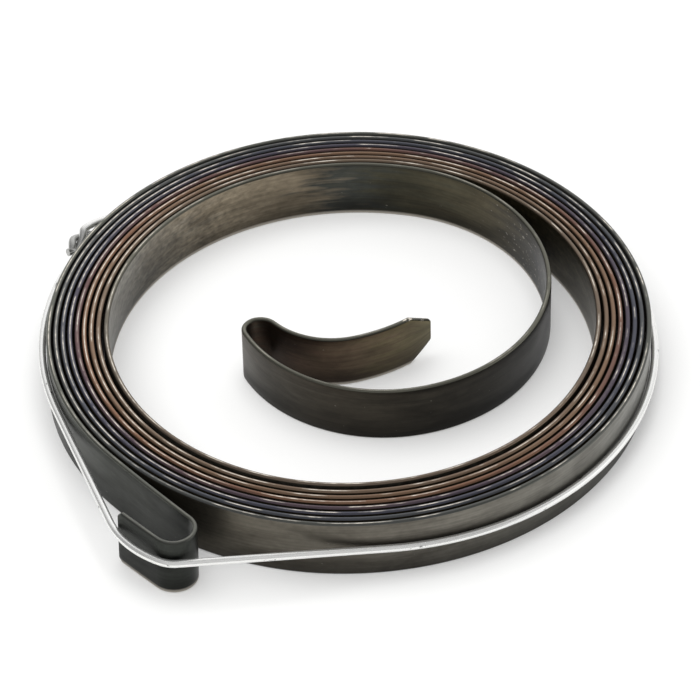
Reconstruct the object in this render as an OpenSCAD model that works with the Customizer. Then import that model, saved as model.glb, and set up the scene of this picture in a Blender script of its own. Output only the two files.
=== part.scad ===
// Recoil starter spring: one flat steel strip, wound on edge and tied with a wire.
// All lengths are in millimetres. +X is right, +Y is back and +Z is up.
// The coil lies on its edges on the plane z = 0, with its axis on the Z axis.

/* [Strip] */
// Width of the strip, which is the height of the coil as it lies
strip_width = 10; // [4:0.5:25]
// Thickness of the strip
strip_thickness = 0.8; // [0.3:0.05:1.2]
// Small corner cut of the strip's outer end
end_corner = 0.7; // [0.2:0.1:2]

/* [Coil] */
// Mean bend radius of the innermost turn
coil_radius = 37.35; // [25:0.05:60]
// Whole turns, from the back to the place where the outer leg leaves at the left
turns = 8; // [3:1:14]
// Mean gap between two turns
turn_gap = 0.28; // [0.15:0.01:1]
// Extra gap at the front between the innermost turn, which sits looser, and the next one
inner_slack = 0.4; // [0:0.02:0.6]
// Place of the innermost turn to the right of the coil's axis
inner_right = 0.15; // [-1:0.05:1]
// Place of the innermost turn behind the coil's axis
inner_back = 0.15; // [-1:0.05:1]
// Difference of the two bend radii that make the coil oval
oval = 2.56; // [0:0.02:5]
// Part of the growth that falls at the front and the back instead of the sides
oval_growth = 0.175; // [0:0.005:0.25]
// Part of the growth that moves the outer turns towards the front
front_drift = 0.045; // [0:0.005:0.08]

/* [Outer hook] */
// Angle through which the outer turn follows the coil past the left side
leg_angle = 40.6; // [20:0.1:60]
// Length of the nearly straight leg
leg_length = 17.5; // [8:0.1:30]
// Bend radius of that leg
leg_radius = 400; // [200:10:900]
// Radius inside the hook
hook_radius = 2.8; // [1:0.1:6]
// Angle of the hook
hook_angle = 177.5; // [120:0.5:180]
// Length of the strip behind the hook
hook_return = 8.2; // [4:0.1:15]
// Bend radius of that length
return_radius = 250; // [100:10:900]

/* [Inner end] */
// Bend radius where the loop leaves the coil
entry_radius = 39.5; // [34:0.5:60]
// Angle of that bend
entry_angle = 12.2; // [5:0.1:30]
// Bend radius of the loop at the right
loop_radius = 26.7; // [15:0.1:32]
// Angle of that bend
loop_angle = 153.1; // [120:0.1:180]
// Bend radius of the loop at the front
front_radius = 23; // [12:0.1:30]
// Angle of that bend
front_angle = 79.5; // [50:0.1:100]
// Radius inside the inner hook
inner_hook_radius = 2.2; // [1:0.1:5]
// Angle of the inner hook
inner_hook_angle = 163.5; // [120:0.5:180]
// Bend radius of the tail next to the inner hook, bent the other way
tail_radius = 11.7; // [6:0.1:25]
// Angle of that bend
tail_angle = 65.8; // [30:0.1:90]
// Bend radius of the tail's end
tail_end_radius = 27; // [12:0.5:60]
// Angle of that bend
tail_end_angle = 29; // [10:0.5:40]
// Length of the two corner cuts that make the tail's nose
nose_length = 4.2; // [1:0.1:8]
// Depth of each of these cuts
nose_depth = 2.8; // [0.5:0.1:4]

/* [Tie wire] */
// Diameter of the wire
wire_diameter = 1.2; // [0.5:0.1:2]
// Gap between the wire and the strip
wire_gap = 0.1; // [0.05:0.05:0.5]
// Height of the wire above the middle of the strip
wire_rise = 0.75; // [-1:0.05:1]
// Bend radius of the wire where it bows round the hook
wire_bow = 14; // [11:0.5:25]
// Slope of the wire, higher at the left
wire_tilt = 1.9; // [0:0.1:3]
// Direction in which the twisted ends lie
twist_angle = 149; // [100:1:165]
// Length of the twisted ends
twist_length = 4; // [3:0.5:15]
// Length in which the two ends go once round each other
twist_pitch = 6.5; // [5:0.5:12]
// Angle by which the twisted ends stand off the coil
twist_lift = 0; // [0:1:30]
// Angle by which the twisted ends hang down
twist_drop = 15; // [0:1:30]
// Gap between the two strands
strand_gap = 0.08; // [0.05:0.01:0.3]

/* [Hidden] */
$fn = 180;

half = strip_thickness / 2;
pitch = strip_thickness + turn_gap;
quarters = 4 * turns + 1;

// Growth of the bend radius at the left, the front, the right and the back of each turn
side_growth = pitch / 4 - oval_growth;
axial_growth = pitch / 4 + oval_growth;
growth = [side_growth, axial_growth - front_drift, side_growth, axial_growth + front_drift];

// Shares of the slack in three quarters: they open the gap at the front and hardly change it elsewhere
slack_share = [-0.2, 0.7, -0.25];
function slack(q) = q >= 3 && q <= 5 ? inner_slack * slack_share[q - 3] : 0;
function grown(q) = q == 0 ? 0 : grown(q - 1) + growth[(q - 1) % 4] + slack(q);
function coil_bend(q) = coil_radius + grown(q) + (q % 2 == 0 ? oval / 2 : -oval / 2);

// Angle of a bend of a given length, in whole thousandths of a degree
function angle_of(length, radius) = round(length / radius * 180000 / PI) / 1000;

// Bends, as [radius of the middle of the strip, angle], where a positive angle turns left
coil_bends = [for (q = [0:quarters - 1]) [coil_bend(q), 90]];
outer_bends = [
    [coil_bend(quarters), leg_angle],
    [leg_radius, angle_of(leg_length, leg_radius)],
    [hook_radius + half, -hook_angle],
    [return_radius, -angle_of(hook_return, return_radius)]
];
inner_bends = [
    [entry_radius, -entry_angle],
    [loop_radius, -loop_angle],
    [front_radius, -front_angle],
    [inner_hook_radius + half, -inner_hook_angle],
    [tail_radius, tail_angle],
    [tail_end_radius, tail_end_angle]
];

// A pose is [x, y, heading]. The coil runs out from the back, and the inner end runs in from there.
coil_start = [oval / 2 + inner_right, coil_radius + inner_back];
outwards = [coil_start.x, coil_start.y, 180];
inwards = [coil_start.x, coil_start.y, 0];

function side(b) = b[1] > 0 ? 1 : -1;
function centre(p, b) = [p.x, p.y] + side(b) * b[0] * [-sin(p[2]), cos(p[2])];
function on_bend(p, b, angle, left) =
    let (a = p[2] + angle)
    centre(p, b) + (left - side(b) * b[0]) * [-sin(a), cos(a)];
function bend_end(p, b) = let (e = on_bend(p, b, b[1], 0)) [e.x, e.y, p[2] + b[1]];
function poses(p, bends) =
    [for (i = 0, q = p; i <= len(bends); q = i < len(bends) ? bend_end(q, bends[i]) : q, i = i + 1) q];

strip_bends = concat(coil_bends, outer_bends);
strip_poses = poses(outwards, strip_bends);
inner_poses = poses(inwards, inner_bends);
strip_end = strip_poses[len(strip_bends)];
tail_end = inner_poses[len(inner_bends)];

module strip_section() translate([-half, 0]) square([strip_thickness, strip_width]);

// Whole, small and smallest share of a place one after the other, so that neighbouring bends meet exactly
module at_place(v) {
    whole = [floor(v.x), floor(v.y)];
    small = [for (c = v - whole) round(c * 1e5) / 1e5];
    translate(whole) translate(small) translate(v - whole - small) children();
}

// Angle by which a bend reaches into its neighbours, far below any real size, so that they join in every size
join_angle = 2e-12;

module bend(p, b) {
    first = b[1] > 0 ? p[2] - 90 : p[2] + 90 + b[1];
    at_place(centre(p, b))
        rotate_extrude(angle = abs(b[1]) + 2 * join_angle, start = first - join_angle)
            translate([b[0], 0]) strip_section();
}

module bent_strip(all_poses, bends)
    for (i = [0:len(bends) - 1]) bend(all_poses[i], bends[i]);

// Cuts the upper and the lower corner of a strip that ends in pose p
module corner_cuts(p, along, deep)
    translate([p.x, p.y]) rotate(p[2]) rotate([90, 0, 0])
        for (up = [0, 1])
            translate([0, up * strip_width]) mirror([0, up, 0])
                linear_extrude(height = 6 * strip_thickness, center = true)
                    polygon([[-along, 0], [0, deep], [along, deep], [along, -deep], [-along, -deep]]);

module spring_strip()
    color([0.26, 0.25, 0.22])
        difference() {
            union() {
                bent_strip(strip_poses, strip_bends);
                bent_strip(inner_poses, inner_bends);
            }
            corner_cuts(tail_end, nose_length, nose_depth);
            corner_cuts(strip_end, end_corner, end_corner);
        }

function unit(v) = v / norm(v);

// Points of the last turn, the leg and the hook that the wire is pulled round, on both faces of the strip
wrap_step = 2;
strip_wrap = [for (i = [quarters - 4:len(strip_bends) - 1])
    let (b = strip_bends[i], n = max(4, ceil(abs(b[1]) / wrap_step)))
    for (k = [0:n], left = [-half, half]) on_bend(strip_poses[i], b, b[1] * k / n, left)];

// The stiff wire doesn't follow the strip behind the hook: it bows from the strip's end to the hook
hook_index = quarters + 2;
hook_centre = centre(strip_poses[hook_index], strip_bends[hook_index]);
hook_outside = hook_radius + strip_thickness;
bow_end = [strip_end.x, strip_end.y] + half * [-sin(strip_end[2]), cos(strip_end[2])];
bow_reach = norm(bow_end - hook_centre);
bow_dir = unit(bow_end - hook_centre);
bow_in = wire_bow - hook_outside;
bow_along = (bow_reach * bow_reach + bow_in * bow_in - wire_bow * wire_bow) / (2 * bow_reach);
bow_across = sqrt(max(0, bow_in * bow_in - bow_along * bow_along));
bow_centre = hook_centre + bow_dir * bow_along + [bow_dir.y, -bow_dir.x] * bow_across;
function direction(v) = (atan2(v.y, v.x) + 360) % 360;
bow_lead = 40;
bow_first = direction(bow_end - bow_centre) - bow_lead;
bow_last = direction(hook_centre - bow_centre);
bow_steps = 20;
bow_wrap = [for (k = [0:bow_steps])
    let (a = bow_first + (bow_last - bow_first) * k / bow_steps)
    bow_centre + wire_bow * [cos(a), sin(a)]];
wrapped = concat(strip_wrap, bow_wrap);

// The point that lies furthest in a direction
function furthest(a) =
    let (d = wrapped * [cos(a), sin(a)], m = max(d))
    [for (i = [0:len(d) - 1]) if (d[i] == m) wrapped[i]][0];

wire_off = wire_gap + wire_diameter / 2;
strand_off = (wire_diameter + strand_gap) / 2;
twist_off = wire_off + 1.5 * wire_diameter + strand_gap;
turn_back = (twist_off - wire_off) / 2;
function smooth(f) = let (c = min(1, max(0, f))) c * c * (3 - 2 * c);
function wire_z(x) = strip_width / 2 + wire_rise - x * tan(wire_tilt);
function point3(v, up) = [v.x, v.y, wire_z(v.x) + up];

// Loop round the coil: it starts low under the twisted ends, and comes back over its own start
loop_steps = 180;
start_angle = 14;
end_angle = 9;
function loop_point(a) =
    let (n = [cos(a), sin(a)], gone = a - twist_angle, left = twist_angle + 360 - a,
         low = -strand_off * (1 - smooth(gone / start_angle)), high = 1 - smooth(left / end_angle))
    point3(furthest(a) + n * (wire_off + (twist_off - wire_off) * high), low + strand_off * high);
wire_loop = [for (k = [0:loop_steps]) loop_point(twist_angle + 360 * k / loop_steps)];

// Twisted ends: two strands round one line that runs along the coil and a little away from it
twist_out = [cos(twist_angle), sin(twist_angle)];
twist_along = [-sin(twist_angle), cos(twist_angle)];
twist_dir = (twist_along * cos(twist_lift) + twist_out * sin(twist_lift)) * cos(twist_drop);
twist_side = twist_out * cos(twist_lift) - twist_along * sin(twist_lift);
twist_start = furthest(twist_angle) + twist_out * twist_off;
function strand_point(s, phase) =
    let (a = phase + 360 * s / twist_pitch)
    point3(twist_start + twist_dir * s + twist_side * strand_off * cos(a),
           strand_off * sin(a) - s * sin(twist_drop));
function turn_point(a) =
    point3(furthest(twist_angle) + twist_out * (wire_off + turn_back * (1 + cos(a)))
           - twist_along * turn_back * sin(a), -strand_off);
strand_steps = 22;
first_strand = [for (k = [strand_steps:-1:1]) strand_point(twist_length * k / strand_steps, -90)];
turn_round = [for (a = [0:20:160]) turn_point(a)];
last_strand = [for (k = [1:strand_steps]) strand_point(twist_length * k / strand_steps, 90)];

// Points added on the straight stretches, so that the easing of the bends stays where the bends are
longest_step = 2;
function filled(p) = [
    for (i = [0:len(p) - 2])
        let (n = ceil(norm(p[i + 1] - p[i]) / longest_step))
        for (k = [0:n - 1]) p[i] + (p[i + 1] - p[i]) * k / n,
    p[len(p) - 1]
];
function eased(p) = [for (i = [0:len(p) - 1])
    i == 0 || i == len(p) - 1 ? p[i] : (p[i - 1] + 2 * p[i] + p[i + 1]) / 4];
wire_path = eased(eased(filled(concat(first_strand, turn_round, wire_loop, last_strand))));

// Round wire along a path
wire_sides = 12;
function ring(path, i) =
    let (t = unit(path[min(i + 1, len(path) - 1)] - path[max(i - 1, 0)]),
         u = unit(cross([0, 0, 1], t)), v = cross(t, u))
    [for (k = [0:wire_sides - 1])
        path[i] + wire_diameter / 2 * (cos(360 * k / wire_sides) * u + sin(360 * k / wire_sides) * v)];

module tie_wire() {
    n = len(wire_path);
    points = [for (i = [0:n - 1]) each ring(wire_path, i)];
    walls = [for (i = [0:n - 2], k = [0:wire_sides - 1])
        let (a = i * wire_sides + k, b = i * wire_sides + (k + 1) % wire_sides)
        each [[a, a + wire_sides, b], [b, a + wire_sides, b + wire_sides]]];
    first_cap = [for (k = [0:wire_sides - 1]) k];
    last_cap = [for (k = [wire_sides - 1:-1:0]) (n - 1) * wire_sides + k];
    color([0.8, 0.8, 0.82]) polyhedron(points, concat(walls, [first_cap, last_cap]), convexity = 6);
}

spring_strip();
tie_wire();
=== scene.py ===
"""Recoil starter spring: the strip and the wire with their finish, on a plain studio floor."""

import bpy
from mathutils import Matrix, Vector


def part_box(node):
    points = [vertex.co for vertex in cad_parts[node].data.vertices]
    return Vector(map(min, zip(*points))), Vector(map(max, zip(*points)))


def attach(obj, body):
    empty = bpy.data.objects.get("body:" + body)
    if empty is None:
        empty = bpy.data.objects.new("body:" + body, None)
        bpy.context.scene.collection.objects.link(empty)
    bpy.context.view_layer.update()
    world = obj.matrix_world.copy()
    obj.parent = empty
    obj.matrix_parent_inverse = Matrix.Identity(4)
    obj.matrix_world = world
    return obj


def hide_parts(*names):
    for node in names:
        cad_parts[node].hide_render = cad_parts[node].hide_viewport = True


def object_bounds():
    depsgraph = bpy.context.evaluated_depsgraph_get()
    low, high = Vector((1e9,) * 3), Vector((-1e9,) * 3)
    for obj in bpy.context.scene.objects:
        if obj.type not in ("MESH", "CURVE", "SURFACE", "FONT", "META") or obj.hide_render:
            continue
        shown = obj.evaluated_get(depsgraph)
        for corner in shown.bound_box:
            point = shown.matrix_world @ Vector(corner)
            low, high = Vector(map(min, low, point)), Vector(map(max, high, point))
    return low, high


bl_info = {
    "name": "Recoil starter spring",
    "version": (1, 0, 0),
    "blender": (4, 5, 0),
    "location": "3D View > Sidebar > Starter spring",
    "description": "Draws a flat spiral spring of tempered steel strip, its tie wire and a plain studio",
    "category": "Object",
}

import bpy
import numpy as np
from mathutils import Vector

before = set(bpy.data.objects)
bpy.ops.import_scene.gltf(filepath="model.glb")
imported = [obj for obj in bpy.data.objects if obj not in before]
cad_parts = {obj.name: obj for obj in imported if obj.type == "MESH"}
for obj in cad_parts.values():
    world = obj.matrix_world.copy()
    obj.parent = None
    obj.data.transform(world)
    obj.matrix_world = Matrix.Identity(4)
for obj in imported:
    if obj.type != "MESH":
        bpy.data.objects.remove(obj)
CAD_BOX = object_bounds()
STRIP_LOW, STRIP_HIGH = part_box("spring_strip")

MM = 0.001
FULL_TURN = 2 * np.pi
WHITE = (1, 1, 1, 1)
UV_MAP = "strip"

# Fineness of the strip's mesh
EDGE_PLACES = 11  # across a rounded edge
FACE_PLACES = 7  # up a face, between its edges
BREAK_RINGS = 5  # in the rounding of a cut end
TIP_RINGS = 8  # in the rounding of the nose's tips
CREASE = np.array([-0.05, 0.05]) * MM  # the two rings beside a crease

# Fineness of the wire's route
WRAP_PLACES = 1200  # on the turn that it is pulled round
BOW_PLACES = 60  # on its bow at the hook
LOOP_PLACES = 361  # on its loop round the coil
STRAND_PLACES = 45  # on a twisted end
BACK_TURN, BACK_STEP = 160, 10  # degrees of the bend in which one end turns back

# The innermost turn's extra gap at the front, shared among its third quarter and the next two
SLACK_QUARTERS = slice(3, 6)
SLACK_SHARES = np.array([-0.2, 0.7, -0.25])

# The strip's ends, over which the tone of the faces changes
INNER_REACH = 0.40
OUTER_REACH = 0.35

# Studio, in metres
FLOOR_REACH = 3.0
KEY_PLACE = (-0.25, -0.1, 0.95)
KEY_SIZE = 1.2
SIDE_PANEL = (0.98, -0.08, 0.16)
LOOK_BACK = 0.3 * MM
CLIP_END = 20


def linear(code):
    """Colour of an sRGB hex code as linear red, green, blue and full alpha."""
    values = np.array([int(code[i:i + 2], 16) for i in (1, 3, 5)]) / 255
    lower = values / 12.92
    upper = ((values + 0.055) / 1.055) ** 2.4
    return (*np.where(values <= 0.04045, lower, upper).tolist(), 1.0)


def number(name, text, value):
    """A plain number that a user may change."""
    return bpy.props.FloatProperty(name=name, description=text, default=value)


def length(name, text, mm):
    """A length that a user may change, given in millimetres and kept in metres."""
    return bpy.props.FloatProperty(
        name=name, description=text, default=mm * MM, unit="LENGTH", precision=5)


def angle(name, text, degrees):
    """An angle that a user may change, given in degrees and kept in radians."""
    return bpy.props.FloatProperty(
        name=name, description=text, default=np.radians(degrees), subtype="ANGLE")


def colour(name, text, code):
    """A colour that a user may change, given as an sRGB hex code."""
    return bpy.props.FloatVectorProperty(
        name=name, description=text, default=linear(code), size=4, subtype="COLOR", min=0, max=1)


class StripSizes(bpy.types.PropertyGroup):
    """Section of the strip and fineness of its mesh."""
    low: bpy.props.FloatProperty(
        name="Lower edge", description="Height of the lower edge", default=STRIP_LOW[2], unit="LENGTH")
    high: bpy.props.FloatProperty(
        name="Upper edge", description="Height of the upper edge", default=STRIP_HIGH[2], unit="LENGTH")
    thickness: length("Thickness", "Thickness of the strip", 0.8)
    crown: length("Edge crown", "Height over which the rolled edge is rounded", 0.32)
    end_break: length("End break", "Rounding of the two cut ends", 0.12)
    end_corner: length("End corner", "Corner cut of the outer end", 0.7)
    ring_step: length("Ring step", "Longest distance between two rings of the mesh", 1.1)
    ring_turn: angle("Ring turn", "Largest turn between two rings of the mesh", 5)


class CoilSizes(bpy.types.PropertyGroup):
    """Close turns of the coil, made of quarter bends."""
    radius: length("Inner radius", "Mean bend radius of the innermost turn", 37.35)
    turns: bpy.props.IntProperty(
        name="Turns", description="Whole turns, from the back to the left", default=8)
    turn_gap: length("Turn gap", "Mean gap between two turns", 0.28)
    inner_slack: length("Inner slack", "Extra gap at the front between the innermost turn and the next", 0.4)
    inner_right: length("Inner right", "Place of the innermost turn to the right of the coil's axis", 0.15)
    inner_back: length("Inner back", "Place of the innermost turn behind the coil's axis", 0.15)
    oval: length("Oval", "Difference of the two bend radii that make the coil oval", 2.56)
    oval_growth: length("Oval growth", "Growth that falls at the front and back instead of the sides", 0.175)
    front_drift: length("Front drift", "Growth that moves the outer turns to the front", 0.045)


class OuterEndSizes(bpy.types.PropertyGroup):
    """Outer leg and hook."""
    leg_angle: angle("Leg angle", "Angle through which the outer turn follows the coil past the left", 40.6)
    leg_length: length("Leg length", "Length of the nearly straight leg", 17.5)
    leg_radius: length("Leg radius", "Bend radius of the leg", 400)
    hook_radius: length("Hook radius", "Radius inside the hook", 2.8)
    hook_angle: angle("Hook angle", "Angle of the hook", 177.5)
    hook_return: length("Hook return", "Length of the strip behind the hook", 8.2)
    return_radius: length("Return radius", "Bend radius of that length", 250)


class InnerEndSizes(bpy.types.PropertyGroup):
    """Inner loop, small hook and tail."""
    entry_radius: length("Entry radius", "Bend radius where the loop leaves the coil", 39.5)
    entry_angle: angle("Entry angle", "Angle of that bend", 12.2)
    loop_radius: length("Loop radius", "Bend radius of the loop at the right", 26.7)
    loop_angle: angle("Loop angle", "Angle of that bend", 153.1)
    front_radius: length("Front radius", "Bend radius of the loop at the front", 23)
    front_angle: angle("Front angle", "Angle of that bend", 79.5)
    hook_radius: length("Inner hook radius", "Radius inside the inner hook", 2.2)
    hook_angle: angle("Inner hook angle", "Angle of the inner hook", 163.5)
    tail_radius: length("Tail radius", "Bend radius of the tail next to the hook", 11.7)
    tail_angle: angle("Tail angle", "Angle of that bend", 65.8)
    tail_end_radius: length("Tail end radius", "Bend radius of the tail's end", 27)
    tail_end_angle: angle("Tail end angle", "Angle of that bend", 29)
    nose_length: length("Nose length", "Length of the two corner cuts of the tail", 4.2)
    nose_depth: length("Nose depth", "Depth of each of these cuts", 2.8)
    nose_round: length("Nose rounding", "Rounding of the nose's two tips", 0.35)
    loop_lean: bpy.props.FloatVectorProperty(
        name="Loop lean", description="How far the loop leans, as a share of its height", size=2,
        default=(-0.019, -0.0565))
    tail_lean: bpy.props.FloatVectorProperty(
        name="Tail lean", description="How far the tail leans, as a share of its height", size=2,
        default=(-0.0155, -0.095))


class WireSizes(bpy.types.PropertyGroup):
    """Tie wire with its twisted ends."""
    diameter: length("Diameter", "Diameter of the wire", 1.2)
    gap: length("Gap", "Gap between the wire and the strip", 0.1)
    rise: length("Rise", "Height of the wire above the middle of the strip", 0.75)
    bow: length("Bow", "Bend radius of the wire where it bows round the hook", 14)
    bow_lead: angle("Bow lead", "Angle by which the bow begins before the strip's end", 40)
    tilt: angle("Tilt", "Slope of the wire, higher at the left", 1.9)
    twist_angle: angle("Twist angle", "Direction in which the twisted ends lie", 149)
    twist_length: length("Twist length", "Length of the twisted ends", 4)
    twist_pitch: length("Twist pitch", "Length in which the ends go once round each other", 6.5)
    twist_lift: angle("Twist lift", "Angle by which the twisted ends stand off the coil", 0)
    twist_drop: angle("Twist drop", "Angle by which the twisted ends hang down", 15)
    strand_gap: length("Strand gap", "Gap between the two strands", 0.08)
    start_angle: angle("Start angle", "Angle in which the loop rises from under its end", 14)
    end_angle: angle("End angle", "Angle in which the loop climbs over its start", 9)
    longest_step: length("Longest step", "Longest step along the wire", 2)
    sides: bpy.props.IntProperty(name="Sides", description="Sides of the round wire", default=20)


class FinishColours(bpy.types.PropertyGroup):
    """Colours of the steel, of the wire and of the floor."""
    face_brown: colour("Oil brown", "Brown of the old oil film", "#5e5447")
    loop_edge: colour("Loop edge", "Greenish grey of the edges of the loop and the tail", "#6e6d63")
    worn: colour("Worn edge", "Bright steel where an edge is rubbed", "#ece4d7")
    wire: colour("Wire", "Bright drawn wire", "#f0f0ee")
    wire_nick: colour("Wire nick", "Dark nicks in the wire", "#4a4a48")
    wire_dull: colour("Wire end", "Wire that pliers have dulled", "#6a6a67")
    floor: colour("Floor", "Matt white floor", "#f4f4f3")


class StudioSettings(bpy.types.PropertyGroup):
    """Camera and light."""
    lens: number("Lens", "Focal length in millimetres", 257.1)
    distance: length("Distance", "Distance of the camera from the middle of the coil", 771)
    elevation: angle("Elevation", "Height of the camera above the floor", 41.4)
    look_up: angle("Look up", "How far the camera looks past the middle of the coil", 0.179)
    key_power: number("Key power", "Power of the soft lamp", 10.0)
    sky: number("Sky", "Strength of the dim room", 0.26)
    panel: number("Panel", "Strength of the white panel behind", 1.1)
    panel_rise: angle("Panel rise", "Height of the white panel above the floor", 28)
    panel_swing: angle("Panel swing", "How far the white panel stands to the right", 12)
    fill: number("Fill", "Strength of the fill panel in front", 0.35)
    side: number("Side", "Strength of the low panel at the right", 1.0)
    floor_glow: number("Floor glow", "Share of the floor's own white", 0.2)


GROUPS = {
    "spring_strip_sizes": StripSizes,
    "spring_coil_sizes": CoilSizes,
    "spring_outer_sizes": OuterEndSizes,
    "spring_inner_sizes": InnerEndSizes,
    "spring_wire_sizes": WireSizes,
    "spring_colours": FinishColours,
    "spring_studio": StudioSettings,
}


def bend_table(scene):
    """Radius and signed angle of every bend, from the tail's nose to the outer end.

    Quarter after quarter the coil's radius grows by a share of the pitch, with more of it at the front and
    the back, and half the oval is added and taken off in turn. Bends to the left count as positive."""
    strip, coil = scene.spring_strip_sizes, scene.spring_coil_sizes
    outer, inner = scene.spring_outer_sizes, scene.spring_inner_sizes
    half = strip.thickness / 2
    pitch = strip.thickness + coil.turn_gap
    side = pitch / 4 - coil.oval_growth
    axial = pitch / 4 + coil.oval_growth
    share = np.array([side, axial - coil.front_drift, side, axial + coil.front_drift])
    quarter = np.arange(4 * coil.turns + 2)
    growth = np.where(quarter == 0, 0, share[(quarter - 1) % 4])
    growth[SLACK_QUARTERS] += coil.inner_slack * SLACK_SHARES
    radius = coil.radius + np.cumsum(growth) + np.where(quarter % 2 == 0, 1, -1) * coil.oval / 2
    sweep = np.full(len(quarter), FULL_TURN / 4)
    sweep[-1] = outer.leg_angle
    tail = [
        (inner.tail_end_radius, -inner.tail_end_angle),
        (inner.tail_radius, -inner.tail_angle),
        (inner.hook_radius + half, inner.hook_angle),
        (inner.front_radius, inner.front_angle),
        (inner.loop_radius, inner.loop_angle),
        (inner.entry_radius, inner.entry_angle),
    ]
    hook = [
        (outer.leg_radius, outer.leg_length / outer.leg_radius),
        (outer.hook_radius + half, -outer.hook_angle),
        (outer.return_radius, -outer.hook_return / outer.return_radius),
    ]
    return np.array(tail), np.stack([radius, sweep], 1), np.array(hook)


def bend_ends(bends):
    """Lengths along the strip at which the bends begin and end: sums of radius times angle."""
    return np.concatenate([[0], np.cumsum(bends[:, 0] * np.abs(bends[:, 1]))])


def bend_corners(start, bends):
    """Places and headings where the bends begin and end: each bend adds its chord and its angle."""
    signed = np.sign(bends[:, 1]) * bends[:, 0]
    heading = start[2] + np.concatenate([[0], np.cumsum(bends[:, 1])])
    chord = signed[:, None] * np.stack([np.diff(np.sin(heading)), -np.diff(np.cos(heading))], 1)
    place = np.array(start[:2]) + np.concatenate([[[0, 0]], np.cumsum(chord, 0)])
    return place, heading


def along_bends(start, bends, at):
    """Place, heading and left normal at the lengths in at.

    On its bend, a point is the bend's start plus a part chord."""
    place, heading = bend_corners(start, bends)
    signed = np.sign(bends[:, 1]) * bends[:, 0]
    ends = bend_ends(bends)
    k = np.clip(np.searchsorted(ends, at, side="right") - 1, 0, len(bends) - 1)
    turned = heading[k] + (at - ends[k]) / signed[k]
    part = np.stack([np.sin(turned) - np.sin(heading[k]), np.cos(heading[k]) - np.cos(turned)], 1)
    left = np.stack([-np.sin(turned), np.cos(turned)], 1)
    return place[k] + signed[k, None] * part, turned, left


def strip_route(scene):
    """Start pose, all bends, and how many of them belong to the tail and to the coil.

    The tail is followed backwards from the place where it joins the coil."""
    coil = scene.spring_coil_sizes
    tail, turns, hook = bend_table(scene)
    inwards = (coil.oval / 2 + coil.inner_right, coil.radius + coil.inner_back, 0.0)
    backwards = np.stack([tail[::-1, 0], -tail[::-1, 1]], 1)
    place, heading = bend_corners(inwards, backwards)
    start = (*place[-1], heading[-1] + np.pi)
    bends = np.concatenate([tail, turns, hook])
    return start, bends, len(tail), len(turns)


def unit(v):
    """Vectors of length one."""
    return v / np.linalg.norm(v, axis=-1, keepdims=True)


def smooth(f):
    """Smooth step from 0 to 1."""
    c = np.clip(f, 0, 1)
    return c * c * (3 - 2 * c)


def swept_mesh(name, points, uv, values):
    """Mesh of a grid of rings, points[ring, place], joined ring to ring and closed at both ends.

    uv[ring, place] has one column more than points, so that its seam isn't pulled across the piece."""
    rings, places = points.shape[:2]
    index = np.arange(rings * places).reshape(rings, places)
    a, b = index, np.roll(index, -1, 1)
    walls = np.stack([a[:-1], b[:-1], b[1:], a[1:]], -1).reshape(-1, 4)
    corner = np.stack([uv[:-1, :-1], uv[:-1, 1:], uv[1:, 1:], uv[1:, :-1]], 2).reshape(-1, 2)
    caps = [index[0][::-1].tolist(), index[-1].tolist()]
    mesh = bpy.data.meshes.new(name)
    mesh.from_pydata(points.reshape(-1, 3), [], walls.tolist() + caps)
    layer = mesh.uv_layers.new(name=UV_MAP)
    cap_uv = np.concatenate([uv[0, :-1][::-1], uv[-1, :-1]])
    layer.data.foreach_set("uv", np.concatenate([corner, cap_uv]).astype(np.float32).ravel())
    for key, value in values.items():
        field = mesh.attributes.new(name=key, type="FLOAT", domain="POINT")
        whole = np.broadcast_to(value, (rings, places))
        field.data.foreach_set("value", whole.astype(np.float32).ravel())
    smooth_faces = np.ones(len(mesh.polygons), dtype=bool)
    smooth_faces[-len(caps):] = False
    mesh.polygons.foreach_set("use_smooth", smooth_faces)
    mesh.update()
    piece = bpy.data.objects.new(name, mesh)
    bpy.context.scene.collection.objects.link(piece)
    return piece


def strip_section():
    """Section as three rows: across, from 1 at the left face to -1 at the right one, up and crown.

    up is 1 on the upper edge and 0 on the lower one, and crown is the share of the edge's crown there."""
    turn = np.linspace(0, np.pi, EDGE_PLACES)
    side = np.linspace(1, 0, FACE_PLACES + 2)[1:-1]
    face, edge = np.ones(FACE_PLACES), np.ones(EDGE_PLACES)
    across = np.concatenate([np.cos(turn), -face, -np.cos(turn), face])
    up = np.concatenate([edge, side, 0 * edge, side[::-1]])
    crown = np.concatenate([np.sin(turn), 0 * face, np.sin(turn), 0 * face])
    return across, up, crown


def ring_lengths(bends, step, turn, extra):
    """Lengths at which a ring stands: even steps on each bend, and those in extra."""
    ends = bend_ends(bends)
    count = np.ceil(np.maximum(np.diff(ends) / step, np.abs(bends[:, 1]) / turn)).astype(int)
    even = [np.linspace(a, b, n, endpoint=False) for a, b, n in zip(ends[:-1], ends[1:], count)]
    return np.unique(np.round(np.concatenate(even + [extra]), 8))


def strip_cut(strip, inner, at, total):
    """How far the section is cut at the lengths in at: off each edge, and off each face.

    The nose's depth falls evenly over its length, and its tips and both cut ends are rounded by a quarter
    circle. The outer end's corner is cut at 45 degrees."""
    near_end = np.clip(strip.end_break - np.minimum(at, total - at), 0, strip.end_break)
    inset = strip.end_break - np.sqrt(strip.end_break ** 2 - near_end ** 2)
    tip = np.clip(1 - at / inner.nose_round, 0, 1)
    nose = inner.nose_depth * np.clip(1 - at / inner.nose_length, 0, 1)
    nose = nose + inner.nose_round * (1 - np.sqrt(1 - tip ** 2))
    corner = strip.end_corner * np.clip(1 - (total - at) / strip.end_corner, 0, 1)
    return nose + corner + inset, inset


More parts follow.
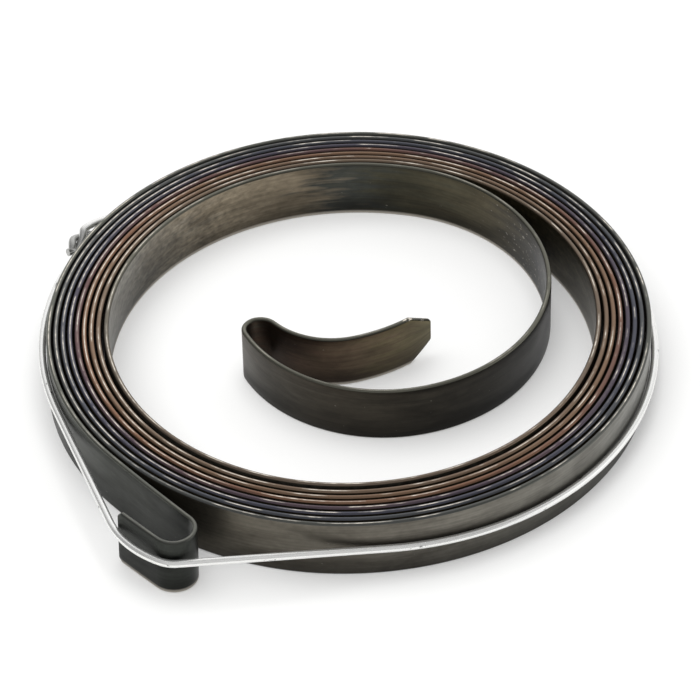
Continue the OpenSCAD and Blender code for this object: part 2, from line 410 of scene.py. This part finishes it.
def spring_strip_mesh(scene):
    """The strip: its rounded section is carried along the bends.

    A point is the route's place plus across times half the thickness along the left normal, at a height
    between the lower and the upper edge, which come closer at the nose. Loop and tail also lean by their
    share of the height."""
    strip, inner = scene.spring_strip_sizes, scene.spring_inner_sizes
    start, bends, tail_count, _ = strip_route(scene)
    ends = bend_ends(bends)
    total = ends[-1]
    break_at = strip.end_break * (1 - np.cos(np.linspace(0, np.pi / 2, BREAK_RINGS)))
    tips_at = inner.nose_round * (1 - np.cos(np.linspace(0, np.pi / 2, TIP_RINGS)))
    extra = np.concatenate([
        break_at, tips_at, inner.nose_length + CREASE, total - break_at, total - strip.end_corner + CREASE])
    at = ring_lengths(bends, strip.ring_step, strip.ring_turn, extra)
    place, heading, left = along_bends(start, bends, at)

    cut, inset = strip_cut(strip, inner, at, total)
    across, up, crown = strip_section()
    low = strip.low + cut + strip.crown
    high = strip.high - cut - strip.crown
    height = low[:, None] + (high - low)[:, None] * up + strip.crown * crown * np.where(up > 0.5, 1, -1)
    reach = (strip.thickness / 2 - inset)[:, None] * across

    # The tail's lean changes to the loop's in the inner hook, and the loop's fades out towards the coil
    _, _, hook_from, front_from, loop_from, entry_from, coil_from = ends[:tail_count + 1]
    lean_at = [0, hook_from, front_from, loop_from, (loop_from + 2 * entry_from) / 3, coil_from]
    lean_share = np.array([[0, 1], [0, 1], [1, 0], [1, 0], [0.6, 0], [0, 0]])
    lean = lean_share @ np.array([inner.loop_lean, inner.tail_lean])
    shift = np.stack([np.interp(at, lean_at, lean[:, i]) for i in range(2)], 1)
    leaned = (height - strip.low)[..., None] * shift[:, None]
    flat = place[:, None] + reach[..., None] * left[:, None] + leaned
    points = np.concatenate([flat, height[..., None]], 2)

    closed = np.concatenate([points, points[:, :1]], 1)
    girth = np.linalg.norm(np.diff(closed[len(at) // 2], axis=0), axis=1)
    around = np.concatenate([[0], np.cumsum(girth)])
    uv = np.stack(np.broadcast_arrays(at[:, None], around), 2)
    turn = (heading - heading[np.searchsorted(at, coil_from)]) / FULL_TURN
    values = {
        "along": at[:, None],
        "from_end": (total - at)[:, None],
        "turn": (np.clip(turn, 0, None) / np.max(turn))[:, None],
        "across": -across,
        "edge": crown,
    }
    return swept_mesh("spring_strip_finished", points, uv, values)


def wire_wrap(scene):
    """Points that the wire is pulled round: both faces of the outermost turn, leg and hook, and a bow.

    The bow is an arc round the hook, which it touches, and it runs through the strip's end."""
    strip, outer, wire = scene.spring_strip_sizes, scene.spring_outer_sizes, scene.spring_wire_sizes
    start, bends, tail_count, coil_count = strip_route(scene)
    half = strip.thickness / 2
    ends = bend_ends(bends)
    last_turn = tail_count + coil_count - 5
    at = np.linspace(ends[last_turn], ends[-1], WRAP_PLACES)
    place, _, left = along_bends(start, bends, at)

    corners, headings = bend_corners(start, bends)
    hook_left = np.array([-np.sin(headings[-3]), np.cos(headings[-3])])
    hook_centre = corners[-3] - (outer.hook_radius + half) * hook_left
    bow_end = place[-1] + half * left[-1]
    reach = np.linalg.norm(bow_end - hook_centre)
    ahead = (bow_end - hook_centre) / reach
    inwards = wire.bow - outer.hook_radius - strip.thickness
    forth = (reach ** 2 + inwards ** 2 - wire.bow ** 2) / (2 * reach)
    aside = np.sqrt(max(0, inwards ** 2 - forth ** 2))
    bow_centre = hook_centre + ahead * forth + np.array([ahead[1], -ahead[0]]) * aside
    ray = np.stack([bow_end, hook_centre]) - bow_centre
    first, last = np.arctan2(ray[:, 1], ray[:, 0]) % FULL_TURN
    turn = np.linspace(first - wire.bow_lead, last, BOW_PLACES)
    bow = bow_centre + wire.bow * np.stack([np.cos(turn), np.sin(turn)], 1)
    return np.concatenate([place - half * left, place + half * left, bow])


def wire_route(scene):
    """The wire's middle line, from one twisted end round the coil to the other.

    Round the coil it is the outline of what it is pulled round, set off by the wire's radius and gap. The
    ends are two strands of a helix. The joints between these are eased."""
    strip, wire = scene.spring_strip_sizes, scene.spring_wire_sizes
    wrap = wire_wrap(scene)
    middle = (strip.low + strip.high) / 2 + wire.rise
    wire_off = wire.gap + wire.diameter / 2
    strand_off = (wire.diameter + wire.strand_gap) / 2
    twist_off = wire_off + 1.5 * wire.diameter + wire.strand_gap
    turn_back = (twist_off - wire_off) / 2

    def outline(a):
        """The wrapped point that lies furthest in the direction a, and that direction."""
        normal = np.stack([np.cos(a), np.sin(a)], -1)
        return wrap[np.argmax(normal @ wrap.T, axis=-1)], normal

    def lifted(flat, up):
        """Flat points at the height of the tilted wire, plus up."""
        return np.concatenate([flat, (middle - flat[:, :1] * np.tan(wire.tilt)) + np.reshape(up, (-1, 1))], 1)

    a = wire.twist_angle + np.linspace(0, FULL_TURN, LOOP_PLACES)
    spot, normal = outline(a)
    sunk = -strand_off * (1 - smooth((a - wire.twist_angle) / wire.start_angle))
    climb = 1 - smooth((wire.twist_angle + FULL_TURN - a) / wire.end_angle)
    off = wire_off + (twist_off - wire_off) * climb
    loop = lifted(spot + normal * off[:, None], sunk + strand_off * climb)

    spot, out = outline(np.array(wire.twist_angle))
    forward = np.array([-out[1], out[0]])
    line = (forward * np.cos(wire.twist_lift) + out * np.sin(wire.twist_lift)) * np.cos(wire.twist_drop)
    side = out * np.cos(wire.twist_lift) - forward * np.sin(wire.twist_lift)
    s = np.linspace(0, wire.twist_length, STRAND_PLACES)[1:]

    def strand(phase):
        """One twisted end: a helix round the line on which the two ends lie."""
        turn = phase + FULL_TURN * s / wire.twist_pitch
        flat = spot + out * twist_off + s[:, None] * line + strand_off * np.cos(turn)[:, None] * side
        return lifted(flat, strand_off * np.sin(turn) - s * np.sin(wire.twist_drop))

    bend = np.radians(np.arange(0, BACK_TURN + 1, BACK_STEP))
    back = spot + out * (wire_off + turn_back * (1 + np.cos(bend)))[:, None]
    back = lifted(back - forward * (turn_back * np.sin(bend))[:, None], np.full(len(bend), -strand_off))
    route = np.concatenate([strand(-np.pi / 2)[::-1], back, loop, strand(np.pi / 2)])
    return eased(eased(filled(route, wire.longest_step / 2)))


def filled(route, step):
    """Route with points added, evenly on each stretch, so that no step is longer than step."""
    count = np.maximum(1, np.ceil(np.linalg.norm(np.diff(route, axis=0), axis=1) / step)).astype(int)
    place = np.concatenate([[0], np.cumsum(count)])
    return np.stack([np.interp(np.arange(place[-1] + 1), place, route[:, i]) for i in range(3)], 1)


def eased(route):
    """Route whose points are drawn halfway to the middle of their neighbours."""
    inside = (route[:-2] + 2 * route[1:-1] + route[2:]) / 4
    return np.concatenate([route[:1], inside, route[-1:]])


def tie_wire_mesh(scene):
    """The wire: a circle carried along its route, square to it, and closed flat at both cut ends."""
    wire = scene.spring_wire_sizes
    route = wire_route(scene)
    along = unit(np.gradient(route, axis=0))
    side = unit(np.cross([0, 0, 1], along))
    over = np.cross(along, side)
    turn = np.linspace(0, FULL_TURN, wire.sides, endpoint=False)
    circle = np.cos(turn)[None, :, None] * over[:, None] + np.sin(turn)[None, :, None] * side[:, None]
    points = route[:, None] + wire.diameter / 2 * circle
    step = np.linalg.norm(np.diff(route, axis=0), axis=1)
    at = np.concatenate([[0], np.cumsum(step)])
    around = np.linspace(0, np.pi * wire.diameter, wire.sides + 1)
    uv = np.stack(np.broadcast_arrays(at[:, None], around), 2)
    to_end = np.minimum(at, at[-1] - at)
    return swept_mesh("tie_wire_finished", points, uv, {"to_end": to_end[:, None]})


def add(tree, kind, inputs=None, stops=None, **settings):
    """A node of that kind with its settings, its inputs as values or links, and a ramp's stops.

    A stop is a position and an sRGB hex code."""
    node = tree.nodes.new(kind)
    for key, value in settings.items():
        setattr(node, key, value)
    for key, value in (inputs or {}).items():
        if isinstance(value, bpy.types.NodeSocket):
            tree.links.new(value, node.inputs[key])
        else:
            node.inputs[key].default_value = value
    if stops:
        ramp = node.color_ramp
        while len(ramp.elements) < len(stops):
            ramp.elements.new(1)
        for element, (position, code) in zip(ramp.elements, stops):
            element.position = position
            element.color = linear(code)
    return node


def new_material(name):
    """A node material and its tree, which is still empty."""
    material = bpy.data.materials.new(name)
    material.use_nodes = True
    material.node_tree.nodes.clear()
    return material, material.node_tree


def add_patterns(tree, patterns):
    """Noise for each pattern, stretched along the piece and round its section.

    A pattern has its length and its width in millimetres, its detail and its distortion."""
    uv = add(tree, "ShaderNodeUVMap", uv_map=UV_MAP).outputs["UV"]
    noise = {}
    for name, (long, wide, detail, distortion) in patterns.items():
        scaled = add(tree, "ShaderNodeMapping", {
            "Vector": uv, "Scale": (1 / (long * MM), 1 / (wide * MM), 1)}).outputs[0]
        noise[name] = add(tree, "ShaderNodeTexNoise", {
            "Vector": scaled, "Scale": 1, "Detail": detail, "Distortion": distortion}).outputs["Fac"]
    return noise


def strip_face(tree, at, colours):
    """Colour of the strip's faces: tones along both ends, with oil, rolling lines, grain and pits, and
    painted shade towards the floor and behind the outer hook.
    """
    # The first 400 mm run from the nose over the inner loop to the back of the second turn. Streaks make the
    # changes of tone ragged
    inner_end = add(tree, "ShaderNodeMapRange", {"Value": at["along"], "From Max": INNER_REACH}).outputs[0]
    ragged = add(tree, "ShaderNodeMapRange", {
        "Value": at["streaks"], "From Min": 0.25, "From Max": 0.75,
        "To Min": -0.016, "To Max": 0.016}).outputs[0]
    inner_end = add(tree, "ShaderNodeMath", {
        0: inner_end, 1: ragged}, operation="ADD", use_clamp=True).outputs[0]
    inner_tone = add(tree, "ShaderNodeValToRGB", {"Fac": inner_end}, stops=[
        (0.000, "#625b40"), (0.030, "#574a3a"), (0.064, "#4d3c31"), (0.090, "#46423a"), (0.125, "#3a352d"),
        (0.180, "#292620"), (0.270, "#1c1b1a"), (0.310, "#4d4737"), (0.350, "#424034"), (0.372, "#3b3d3a"),
        (0.392, "#726858"), (0.425, "#7f7564"), (0.480, "#6f6c64"), (0.700, "#6a675e"), (0.820, "#554e3b"),
    ]).outputs["Color"]
    # The last 350 mm run from the outer end over the hook and the leg to the last turn's front
    outer_end = add(tree, "ShaderNodeMapRange", {"Value": at["from_end"], "From Max": OUTER_REACH}).outputs[0]
    # Painted shade: the last stop, 315 to 350 mm from the outer end, darkens the outer face where it lies
    # behind the hook
    outer_tone = add(tree, "ShaderNodeValToRGB", {"Fac": outer_end}, stops=[
        (0.00, "#363834"), (0.05, "#313330"), (0.08, "#3b3d39"), (0.16, "#444641"), (0.26, "#6c6d67"),
        (0.62, "#72726d"), (0.80, "#66625a"), (0.90, "#5a554a"), (1.00, "#1b1a15"),
    ]).outputs["Color"]
    on_outside = add(tree, "ShaderNodeMath", {
        0: at["from_end"], 1: OUTER_REACH}, operation="LESS_THAN").outputs[0]
    tone = add(tree, "ShaderNodeMix", {
        "Factor": on_outside, "A": inner_tone, "B": outer_tone}, data_type="RGBA").outputs["Result"]
    # Painted shade: the lower part of the faces is darker, towards the floor
    floor_shade_tone = add(tree, "ShaderNodeMapRange", {
        "Value": at["height"], "From Min": 0.0, "From Max": 0.008, "To Min": 0.35, "To Max": 1.2}).outputs[0]
    tone = add(tree, "ShaderNodeMix", {
        "Factor": 1, "A": tone, "B": floor_shade_tone}, data_type="RGBA", blend_type="MULTIPLY").outputs["Result"]
    patch_share = add(tree, "ShaderNodeMapRange", {
        "Value": at["patches"], "From Min": 0.42, "From Max": 0.7, "To Max": 0.5}).outputs[0]
    stained = add(tree, "ShaderNodeMix", {
        "Factor": patch_share, "A": tone, "B": colours.face_brown},
        data_type="RGBA", blend_type="MULTIPLY").outputs["Result"]
    line_tone = add(tree, "ShaderNodeMapRange", {
        "Value": at["lines"], "From Min": 0.3, "From Max": 0.7, "To Min": 0.86, "To Max": 1.14}).outputs[0]
    lined = add(tree, "ShaderNodeMix", {
        "Factor": 1, "A": stained, "B": line_tone}, data_type="RGBA", blend_type="MULTIPLY").outputs["Result"]
    # The grain of the scale is strong on the coil's inside, and weak on the loop and on the last turn
    grain_tone = add(tree, "ShaderNodeMapRange", {
        "Value": at["grain"], "From Min": 0.3, "From Max": 0.7, "To Min": 0.65, "To Max": 1.35}).outputs[0]
    grain_share = add(tree, "ShaderNodeMapRange", {
        "Value": inner_end, "From Min": 0.39, "From Max": 0.43, "To Min": 0.25, "To Max": 1.0}).outputs[0]
    grain_share = add(tree, "ShaderNodeMath", {
        0: on_outside, 1: -0.75, 2: grain_share}, operation="MULTIPLY_ADD").outputs[0]
    grained = add(tree, "ShaderNodeMix", {
        "Factor": grain_share, "A": lined, "B": grain_tone},
        data_type="RGBA", blend_type="MULTIPLY").outputs["Result"]
    # More of the pits are on the loop's right side, about 108 mm from the nose
    from_right = add(tree, "ShaderNodeMath", {0: at["along"], 1: 0.108}, operation="SUBTRACT").outputs[0]
    from_right = add(tree, "ShaderNodeMath", {0: from_right}, operation="ABSOLUTE").outputs[0]
    pitted = add(tree, "ShaderNodeMapRange", {
        "Value": from_right, "From Min": 0.009, "From Max": 0.02, "To Min": 0.12, "To Max": 0.0}).outputs[0]
    pits = add(tree, "ShaderNodeMath", {0: at["pits"], 1: pitted}, operation="ADD").outputs[0]
    pit_share = add(tree, "ShaderNodeMapRange", {
        "Value": pits, "From Min": 0.74, "From Max": 0.82, "To Max": 0.25}).outputs[0]
    return add(tree, "ShaderNodeMix", {
        "Factor": pit_share, "A": grained, "B": colours.worn}, data_type="RGBA").outputs["Result"]


def strip_rubbed(tree, at):
    """Share of bright steel on the edges: a broken line along their middle, with more of it on the coil's
    left side as a painted highlight, and chips at the nose.
    """
    beside = add(tree, "ShaderNodeMath", {0: at["across"]}, operation="ABSOLUTE").outputs[0]
    middle = add(tree, "ShaderNodeMapRange", {
        "Value": beside, "From Max": 0.36, "To Min": 1.0, "To Max": 0.0},
        interpolation_type="SMOOTHSTEP").outputs[0]
    # Painted highlight: the left side of the coil gets more of the bright line
    more = add(tree, "ShaderNodeMapRange", {
        "Value": at["right"], "From Min": -0.045, "From Max": -0.01,
        "To Min": 0.06, "To Max": -0.04}).outputs[0]
    rubs = add(tree, "ShaderNodeMath", {0: at["rubs"], 1: more}, operation="ADD").outputs[0]
    broken = add(tree, "ShaderNodeMapRange", {"Value": rubs, "From Min": 0.44, "From Max": 0.54}).outputs[0]
    speckled = add(tree, "ShaderNodeMapRange", {
        "Value": at["grain"], "From Min": 0.35, "From Max": 0.6, "To Min": 0.35}).outputs[0]
    # The hook and the leg, 60 mm, keep their dull edge
    dull_end = add(tree, "ShaderNodeMapRange", {
        "Value": at["from_end"], "From Min": 0.03, "From Max": 0.07, "To Min": 0.1}).outputs[0]
    # The loop and the first quarter turn, 200 mm, are rubbed less
    dull_start = add(tree, "ShaderNodeMapRange", {
        "Value": at["along"], "From Min": 0.15, "From Max": 0.21, "To Min": 0.35}).outputs[0]
    bright = middle
    for share in (broken, speckled, dull_end, dull_start):
        bright = add(tree, "ShaderNodeMath", {0: bright, 1: share}, operation="MULTIPLY").outputs[0]
    # Chips at the corners of the nose, in its first 5.5 mm
    at_nose = add(tree, "ShaderNodeMath", {0: at["along"], 1: 0.0055}, operation="LESS_THAN").outputs[0]
    chips = add(tree, "ShaderNodeMapRange", {
        "Value": at["grain"], "From Min": 0.5, "From Max": 0.56}).outputs[0]
    chips = add(tree, "ShaderNodeMath", {0: chips, 1: at_nose}, operation="MULTIPLY").outputs[0]
    return add(tree, "ShaderNodeMath", {0: bright, 1: chips}, operation="MAXIMUM").outputs[0]


def strip_edge(tree, at, colours, bright):
    """Colour of the strip's edges: oxide colours from the innermost turn outwards, darker on their inner
    side, lit lighter on the coil's left and darker on its right by painted light, and rubbed.
    """
    drift = add(tree, "ShaderNodeMapRange", {"Value": at["slow"], "To Min": -0.1, "To Max": 0.1}).outputs[0]
    oxide_at = add(tree, "ShaderNodeMath", {0: at["turn"], 1: drift}, operation="ADD").outputs[0]
    oxide = add(tree, "ShaderNodeValToRGB", {"Fac": oxide_at}, stops=[
        (0.00, "#71665c"), (0.10, "#7f7061"), (0.22, "#826d5c"), (0.34, "#886e5a"), (0.42, "#886754"),
        (0.48, "#725854"), (0.55, "#5e545d"), (0.64, "#555560"), (0.76, "#56585e"), (0.90, "#5f605d"),
        (1.00, "#666760"),
    ]).outputs["Color"]
    # The tail, the loop and the first quarter turn, 210 mm, are grey
    past_loop = add(tree, "ShaderNodeMapRange", {
        "Value": at["along"], "From Min": 0.19, "From Max": 0.23}).outputs[0]
    clean = add(tree, "ShaderNodeMix", {
        "Factor": past_loop, "A": colours.loop_edge, "B": oxide}, data_type="RGBA").outputs["Result"]
    # The inner side of an edge is darker; painted light makes the left side of the coil lighter and the right
    # side darker
    side_tone = add(tree, "ShaderNodeMapRange", {
        "Value": at["across"], "From Min": -0.95, "From Max": -0.45, "To Min": 0.4, "To Max": 1.0}).outputs[0]
    side_light_tone = add(tree, "ShaderNodeMapRange", {
        "Value": at["right"], "From Min": -0.045, "From Max": -0.01,
        "To Min": 1.12, "To Max": 0.85}).outputs[0]
    inner_dark_and_side_light = add(tree, "ShaderNodeMath", {0: side_tone, 1: side_light_tone}, operation="MULTIPLY").outputs[0]
    # The edge colour times that tone: its darker inner side, and painted light from the coil's left to its
    # right
    oiled = add(tree, "ShaderNodeMix", {
        "Factor": 1, "A": clean, "B": inner_dark_and_side_light}, data_type="RGBA", blend_type="MULTIPLY").outputs["Result"]
    return add(tree, "ShaderNodeMix", {
        "Factor": bright, "A": oiled, "B": colours.worn}, data_type="RGBA").outputs["Result"]


def tempered_strip_steel(scene):
    """Hardened and tempered spring steel strip, cold rolled and oiled.

    The faces are a dark satin with fine lines along the strip, brown patches of old oil, grainy scale and a
    few pale pits, with painted shade towards the floor and behind the outer hook, and a painted highlight
    along the lowest 0.5 mm of the inner faces. The edges keep the oxide colours of tempering, straw to
    bronze inside, then purple and blue, and grey outside, under a thin film of oil, darker on their inner
    side, with a rubbed bright line broken along their middle. Painted light makes the edges on the coil's
    left side lighter, with more of the bright line, and those on its right side darker."""
    colours = scene.spring_colours
    material, tree = new_material("tempered spring steel, rolled and oiled")
    at = add_patterns(tree, {
        "lines": (30, 0.35, 4, 0),  # rolling lines
        "patches": (12, 4, 4, 0.6),  # patches of oil
        "pits": (0.9, 0.5, 2, 0),  # pits of about 0.4 mm
        "grain": (1.2, 0.7, 3, 0),  # grain of the scale
        "streaks": (7, 0.9, 5, 0.4),  # streaks where the tone changes
        "slow": (16, 4, 3, 0),  # slow change of the oxide along the edges
        "rubs": (7, 4, 4, 0),  # rubbed places on the edges
    })
    for name in ("along", "from_end", "turn", "across", "edge"):
        at[name] = add(tree, "ShaderNodeAttribute", attribute_name=name).outputs["Fac"]
    place = add(tree, "ShaderNodeTexCoord").outputs["Object"]
    split = add(tree, "ShaderNodeSeparateXYZ", {0: place})
    at["right"], at["height"] = split.outputs["X"], split.outputs["Z"]

    bright = strip_rubbed(tree, at)
    face = strip_face(tree, at, colours)
    edge = strip_edge(tree, at, colours, bright)
    on_edge = add(tree, "ShaderNodeMapRange", {
        "Value": at["edge"], "From Min": 0.05, "From Max": 0.4}).outputs[0]
    base = add(tree, "ShaderNodeMix", {
        "Factor": on_edge, "A": face, "B": edge}, data_type="RGBA").outputs["Result"]
    # Painted highlight: the lowest 0.5 mm of the inner faces is mixed towards bright steel, as the floor's
    # light on the lower edge
    low_edge_highlight = add(tree, "ShaderNodeMapRange", {
        "Value": at["height"], "From Min": 0.0004, "From Max": 0.0008,
        "To Min": 0.4, "To Max": 0.0}).outputs[0]
    inside = add(tree, "ShaderNodeMath", {0: at["across"], 1: -0.3}, operation="LESS_THAN").outputs[0]
    low_edge_highlight = add(tree, "ShaderNodeMath", {0: low_edge_highlight, 1: inside}, operation="MULTIPLY").outputs[0]
    base = add(tree, "ShaderNodeMix", {
        "Factor": low_edge_highlight, "A": base, "B": colours.worn}, data_type="RGBA").outputs["Result"]

    face_rough = add(tree, "ShaderNodeMapRange", {
        "Value": at["patches"], "From Min": 0.3, "From Max": 0.7, "To Min": 0.36, "To Max": 0.46}).outputs[0]
    edge_rough = add(tree, "ShaderNodeMapRange", {"Value": bright, "To Min": 0.28, "To Max": 0.12}).outputs[0]
    rough = add(tree, "ShaderNodeMix", {
        "Factor": on_edge, "A": face_rough, "B": edge_rough}, data_type="FLOAT").outputs[0]
    bump = add(tree, "ShaderNodeBump", {
        "Height": at["lines"], "Strength": 0.12, "Distance": 0.00003}).outputs["Normal"]
    shader = add(tree, "ShaderNodeBsdfPrincipled", {
        "Base Color": base, "Metallic": 0.9, "Roughness": rough, "Normal": bump}).outputs["BSDF"]
    add(tree, "ShaderNodeOutputMaterial", {"Surface": shader})
    return material


def bright_drawn_wire(scene):
    """Bright drawn steel wire: nearly white metal with fine drawing lines and a few dark nicks."""
    colours = scene.spring_colours
    material, tree = new_material("bright drawn steel wire")
    at = add_patterns(tree, {
        "lines": (12, 0.15, 3, 0),  # drawing lines
        "nicks": (2.5, 1.2, 3, 0),  # nicks, about 1 mm long
    })
    nick_share = add(tree, "ShaderNodeMapRange", {
        "Value": at["nicks"], "From Min": 0.66, "From Max": 0.71}).outputs[0]
    base = add(tree, "ShaderNodeMix", {
        "Factor": nick_share, "A": colours.wire, "B": colours.wire_nick}, data_type="RGBA").outputs["Result"]
    # The twisted ends, about 5 mm, are dulled by the pliers
    to_end = add(tree, "ShaderNodeAttribute", attribute_name="to_end").outputs["Fac"]
    dulled = add(tree, "ShaderNodeMapRange", {
        "Value": to_end, "From Min": 0.003, "From Max": 0.006, "To Min": 0.6, "To Max": 0.0}).outputs[0]
    base = add(tree, "ShaderNodeMix", {
        "Factor": dulled, "A": base, "B": colours.wire_dull}, data_type="RGBA").outputs["Result"]
    rough = add(tree, "ShaderNodeMapRange", {"Value": at["lines"], "To Min": 0.2, "To Max": 0.35}).outputs[0]
    bump = add(tree, "ShaderNodeBump", {
        "Height": at["lines"], "Strength": 0.2, "Distance": 0.00002}).outputs["Normal"]
    shader = add(tree, "ShaderNodeBsdfPrincipled", {
        "Base Color": base, "Metallic": 0.85, "Roughness": rough, "Normal": bump}).outputs["BSDF"]
    add(tree, "ShaderNodeOutputMaterial", {"Surface": shader})
    return material


def matt_floor(scene):
    """Matt white board, which looks lit from behind: a share of what is seen of it is its own white."""
    material, tree = new_material("matt white board")
    path = add(tree, "ShaderNodeLightPath").outputs
    seen = add(tree, "ShaderNodeMath", {
        0: path["Is Camera Ray"], 1: path["Is Glossy Ray"]}, operation="ADD").outputs[0]
    seen = add(tree, "ShaderNodeMath", {
        0: seen, 1: path["Is Transmission Ray"]}, operation="ADD", use_clamp=True).outputs[0]
    share = add(tree, "ShaderNodeMapRange", {
        "Value": seen, "To Max": scene.spring_studio.floor_glow}).outputs[0]
    board = add(tree, "ShaderNodeBsdfDiffuse", {"Color": scene.spring_colours.floor}).outputs[0]
    white = add(tree, "ShaderNodeEmission", {"Color": WHITE, "Strength": 1.0}).outputs[0]
    mixed = add(tree, "ShaderNodeMixShader", {"Fac": share, 1: board, 2: white}).outputs[0]
    add(tree, "ShaderNodeOutputMaterial", {"Surface": mixed})
    return material


class SPRING_OT_strip(bpy.types.Operator):
    """Draw the steel strip: tail, inner loop, coil, leg and outer hook"""
    bl_idname = "starter_spring.strip"
    bl_label = "Spring strip"

    def execute(self, context):
        piece = spring_strip_mesh(context.scene)
        piece.data.materials.append(tempered_strip_steel(context.scene))
        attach(piece, "root")
        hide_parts("spring_strip")
        return {"FINISHED"}


class SPRING_OT_wire(bpy.types.Operator):
    """Draw the tie wire with its twisted ends"""
    bl_idname = "starter_spring.wire"
    bl_label = "Tie wire"

    def execute(self, context):
        piece = tie_wire_mesh(context.scene)
        piece.data.materials.append(bright_drawn_wire(context.scene))
        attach(piece, "root")
        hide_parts("tie_wire")
        return {"FINISHED"}


def studio_floor(scene, bottom):
    """A square board at the height of the object's lowest point."""
    flat = np.array([[-1, -1], [1, -1], [1, 1], [-1, 1]]) * FLOOR_REACH
    corners = np.column_stack([flat, np.full(4, bottom)])
    mesh = bpy.data.meshes.new("studio_floor")
    mesh.from_pydata(corners, [], [[0, 1, 2, 3]])
    floor = bpy.data.objects.new("studio_floor", mesh)
    floor.data.materials.append(matt_floor(scene))
    scene.collection.objects.link(floor)


def panelled_room(studio):
    """World of a dim room with soft white panels, which the steel mirrors.

    A panel's light grows with the cosine between the ray and the panel's direction, from where it begins to
    where it is full."""
    level, rise, swing = np.cos(studio.panel_rise), np.sin(studio.panel_rise), studio.panel_swing
    behind = (level * np.sin(swing), level * np.cos(swing), rise)
    in_front = (0, -np.cos(studio.elevation), np.sin(studio.elevation))
    panels = (
        # direction, cosines where it begins and is full, strength
        (behind, 0.4, 0.97, studio.panel - studio.sky),
        (in_front, 0.6, 1.0, studio.fill),
        (SIDE_PANEL, 0.82, 0.95, studio.side),
    )
    world = bpy.data.worlds.new("dim room with soft white panels")
    world.use_nodes = True
    tree = world.node_tree
    tree.nodes.clear()
    ray = add(tree, "ShaderNodeTexCoord").outputs["Generated"]
    strength = studio.sky
    for towards, begins, full, power in panels:
        facing = add(tree, "ShaderNodeVectorMath", {
            0: ray, 1: towards}, operation="DOT_PRODUCT").outputs["Value"]
        light = add(tree, "ShaderNodeMapRange", {
            "Value": facing, "From Min": begins, "From Max": full, "To Max": power}).outputs[0]
        strength = add(tree, "ShaderNodeMath", {0: strength, 1: light}, operation="ADD").outputs[0]
    room = add(tree, "ShaderNodeBackground", {"Color": WHITE, "Strength": strength}).outputs[0]
    add(tree, "ShaderNodeOutputWorld", {"Surface": room})
    return world


def soft_lamp(scene, bottom):
    """A square soft lamp over the object. It isn't mirrored, because the room's panels are."""
    data = bpy.data.lights.new("soft_key", "AREA")
    data.size = KEY_SIZE
    data.energy = scene.spring_studio.key_power
    lamp = bpy.data.objects.new("soft_key", data)
    lamp.location = KEY_PLACE
    lamp.rotation_euler = (Vector((0, 0, bottom)) - Vector(KEY_PLACE)).to_track_quat("-Z", "Y").to_euler()
    lamp.visible_glossy = False
    scene.collection.objects.link(lamp)


def front_camera(scene, bottom):
    """The camera, at its distance and elevation in front of the coil."""
    studio = scene.spring_studio
    target = Vector((0.0, LOOK_BACK, bottom))
    camera = bpy.data.objects.new("camera", bpy.data.cameras.new("camera"))
    camera.data.lens = studio.lens
    camera.data.clip_end = CLIP_END
    away = Vector((0, -np.cos(studio.elevation), np.sin(studio.elevation)))
    camera.location = target + studio.distance * away
    camera.rotation_euler = (np.pi / 2 - studio.elevation + studio.look_up, 0, 0)
    scene.collection.objects.link(camera)
    return camera


class SPRING_OT_studio(bpy.types.Operator):
    """Set up the floor, the light and the camera"""
    bl_idname = "starter_spring.studio"
    bl_label = "Studio"

    def execute(self, context):
        scene = context.scene
        bottom = CAD_BOX[0][2]
        studio_floor(scene, bottom)
        scene.world = panelled_room(scene.spring_studio)
        soft_lamp(scene, bottom)
        scene.camera = front_camera(scene, bottom)
        scene.view_settings.view_transform = "Standard"
        return {"FINISHED"}


class SPRING_PT_panel(bpy.types.Panel):
    """Sizes, colours and the pieces of the spring"""
    bl_label = "Starter spring"
    bl_idname = "SPRING_PT_panel"
    bl_space_type = "VIEW_3D"
    bl_region_type = "UI"
    bl_category = "Starter spring"

    def draw(self, context):
        for key, group in GROUPS.items():
            box = self.layout.box()
            box.label(text=group.__doc__)
            for name in group.__annotations__:
                box.prop(getattr(context.scene, key), name)
        for operator in OPERATORS:
            self.layout.operator(operator.bl_idname)


OPERATORS = (SPRING_OT_studio, SPRING_OT_strip, SPRING_OT_wire)
CLASSES = (*GROUPS.values(), *OPERATORS, SPRING_PT_panel)


def register():
    """Register the classes, and hang the sizes, colours and settings on the scene."""
    for item in CLASSES:
        bpy.utils.register_class(item)
    for key, group in GROUPS.items():
        setattr(bpy.types.Scene, key, bpy.props.PointerProperty(type=group))


def unregister():
    """Take all of it away again."""
    for key in GROUPS:
        delattr(bpy.types.Scene, key)
    for item in reversed(CLASSES):
        bpy.utils.unregister_class(item)


def main():
    """Draw the studio and both pieces."""
    register()
    bpy.ops.starter_spring.studio()
    bpy.ops.starter_spring.strip()
    bpy.ops.starter_spring.wire()


if __name__ == "__main__":
    main()
